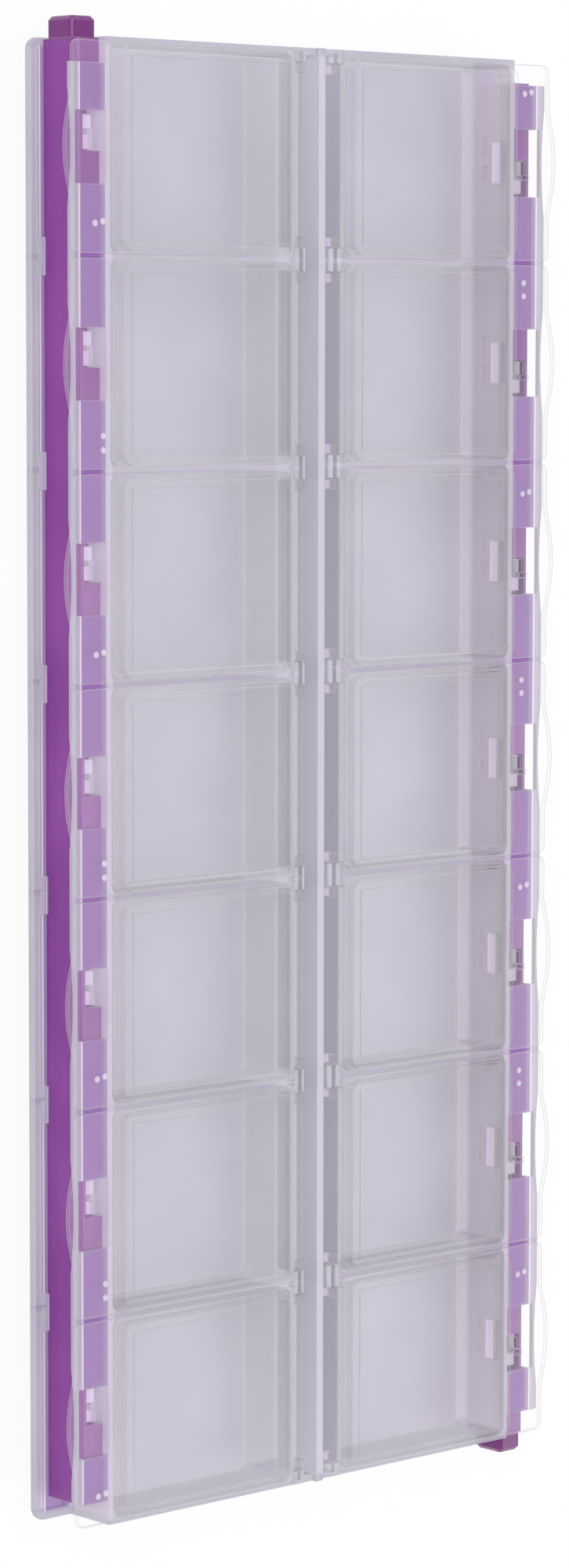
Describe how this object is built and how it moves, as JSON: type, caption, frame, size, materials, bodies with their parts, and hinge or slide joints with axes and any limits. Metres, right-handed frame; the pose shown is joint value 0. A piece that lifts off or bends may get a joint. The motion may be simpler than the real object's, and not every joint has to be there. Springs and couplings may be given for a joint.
{
  "type": "locking compartment caddy",
  "caption": "Slim tray of small compartments in two columns, each with its own hinged clear lid, and a sliding lockbar down each side that locks its column of lids.",
  "frame": {"origin": "middle of the tray's flat back, in the plane it lies on", "axes": "+Z out through the lids, +Y along the long side towards row 1, +X across towards the right column"},
  "size_m": [0.1436, 0.3242, 0.0198],
  "materials": {
    "tray_frosted": "frosted translucent moulded plastic",
    "lid_clear": "clear moulded plastic, polished",
    "lockbar_purple": "tinted translucent moulded plastic"
  },
  "bodies": {
    "tray": {"tray": "tray_frosted"},
    "lid_left_1": {"lid_left_1": "lid_clear"},
    "lid_right_1": {"lid_right_1": "lid_clear"},
    "lid_left_2": {"lid_left_2": "lid_clear"},
    "lid_right_2": {"lid_right_2": "lid_clear"},
    "lid_left_3": {"lid_left_3": "lid_clear"},
    "lid_right_3": {"lid_right_3": "lid_clear"},
    "lid_left_4": {"lid_left_4": "lid_clear"},
    "lid_right_4": {"lid_right_4": "lid_clear"},
    "lid_left_5": {"lid_left_5": "lid_clear"},
    "lid_right_5": {"lid_right_5": "lid_clear"},
    "lid_left_6": {"lid_left_6": "lid_clear"},
    "lid_right_6": {"lid_right_6": "lid_clear"},
    "lid_left_7": {"lid_left_7": "lid_clear"},
    "lid_right_7": {"lid_right_7": "lid_clear"},
    "lockbar_left": {"lockbar_left": "lockbar_purple"},
    "lockbar_right": {"lockbar_right": "lockbar_purple"}
  },
  "joints": [
    {"name": "lid_left_1_hinge", "type": "hinge", "parent": "tray", "child": "lid_left_1", "pos_m": [-0.005, 0.135, 0.0153], "axis": [0, 1, 0], "range_deg": [0, 90]},
    {"name": "lid_right_1_hinge", "type": "hinge", "parent": "tray", "child": "lid_right_1", "pos_m": [0.005, 0.135, 0.0153], "axis": [0, -1, 0], "range_deg": [0, 90]},
    {"name": "lid_left_2_hinge", "type": "hinge", "parent": "tray", "child": "lid_left_2", "pos_m": [-0.005, 0.09, 0.0153], "axis": [0, 1, 0], "range_deg": [0, 90]},
    {"name": "lid_right_2_hinge", "type": "hinge", "parent": "tray", "child": "lid_right_2", "pos_m": [0.005, 0.09, 0.0153], "axis": [0, -1, 0], "range_deg": [0, 90]},
    {"name": "lid_left_3_hinge", "type": "hinge", "parent": "tray", "child": "lid_left_3", "pos_m": [-0.005, 0.045, 0.0153], "axis": [0, 1, 0], "range_deg": [0, 90]},
    {"name": "lid_right_3_hinge", "type": "hinge", "parent": "tray", "child": "lid_right_3", "pos_m": [0.005, 0.045, 0.0153], "axis": [0, -1, 0], "range_deg": [0, 90]},
    {"name": "lid_left_4_hinge", "type": "hinge", "parent": "tray", "child": "lid_left_4", "pos_m": [-0.005, 0, 0.0153], "axis": [0, 1, 0], "range_deg": [0, 90]},
    {"name": "lid_right_4_hinge", "type": "hinge", "parent": "tray", "child": "lid_right_4", "pos_m": [0.005, 0, 0.0153], "axis": [0, -1, 0], "range_deg": [0, 90]},
    {"name": "lid_left_5_hinge", "type": "hinge", "parent": "tray", "child": "lid_left_5", "pos_m": [-0.005, -0.045, 0.0153], "axis": [0, 1, 0], "range_deg": [0, 90]},
    {"name": "lid_right_5_hinge", "type": "hinge", "parent": "tray", "child": "lid_right_5", "pos_m": [0.005, -0.045, 0.0153], "axis": [0, -1, 0], "range_deg": [0, 90]},
    {"name": "lid_left_6_hinge", "type": "hinge", "parent": "tray", "child": "lid_left_6", "pos_m": [-0.005, -0.09, 0.0153], "axis": [0, 1, 0], "range_deg": [0, 90]},
    {"name": "lid_right_6_hinge", "type": "hinge", "parent": "tray", "child": "lid_right_6", "pos_m": [0.005, -0.09, 0.0153], "axis": [0, -1, 0], "range_deg": [0, 90]},
    {"name": "lid_left_7_hinge", "type": "hinge", "parent": "tray", "child": "lid_left_7", "pos_m": [-0.005, -0.135, 0.0153], "axis": [0, 1, 0], "range_deg": [0, 90]},
    {"name": "lid_right_7_hinge", "type": "hinge", "parent": "tray", "child": "lid_right_7", "pos_m": [0.005, -0.135, 0.0153], "axis": [0, -1, 0], "range_deg": [0, 90]},
    {"name": "lockbar_right_slide", "type": "slide", "parent": "tray", "child": "lockbar_right", "axis": [0, 1, 0], "range_m": [0, 0.0042]},
    {"name": "lockbar_left_slide", "type": "slide", "parent": "tray", "child": "lockbar_left", "axis": [0, -1, 0], "range_m": [0, 0.0042]}
  ]
}
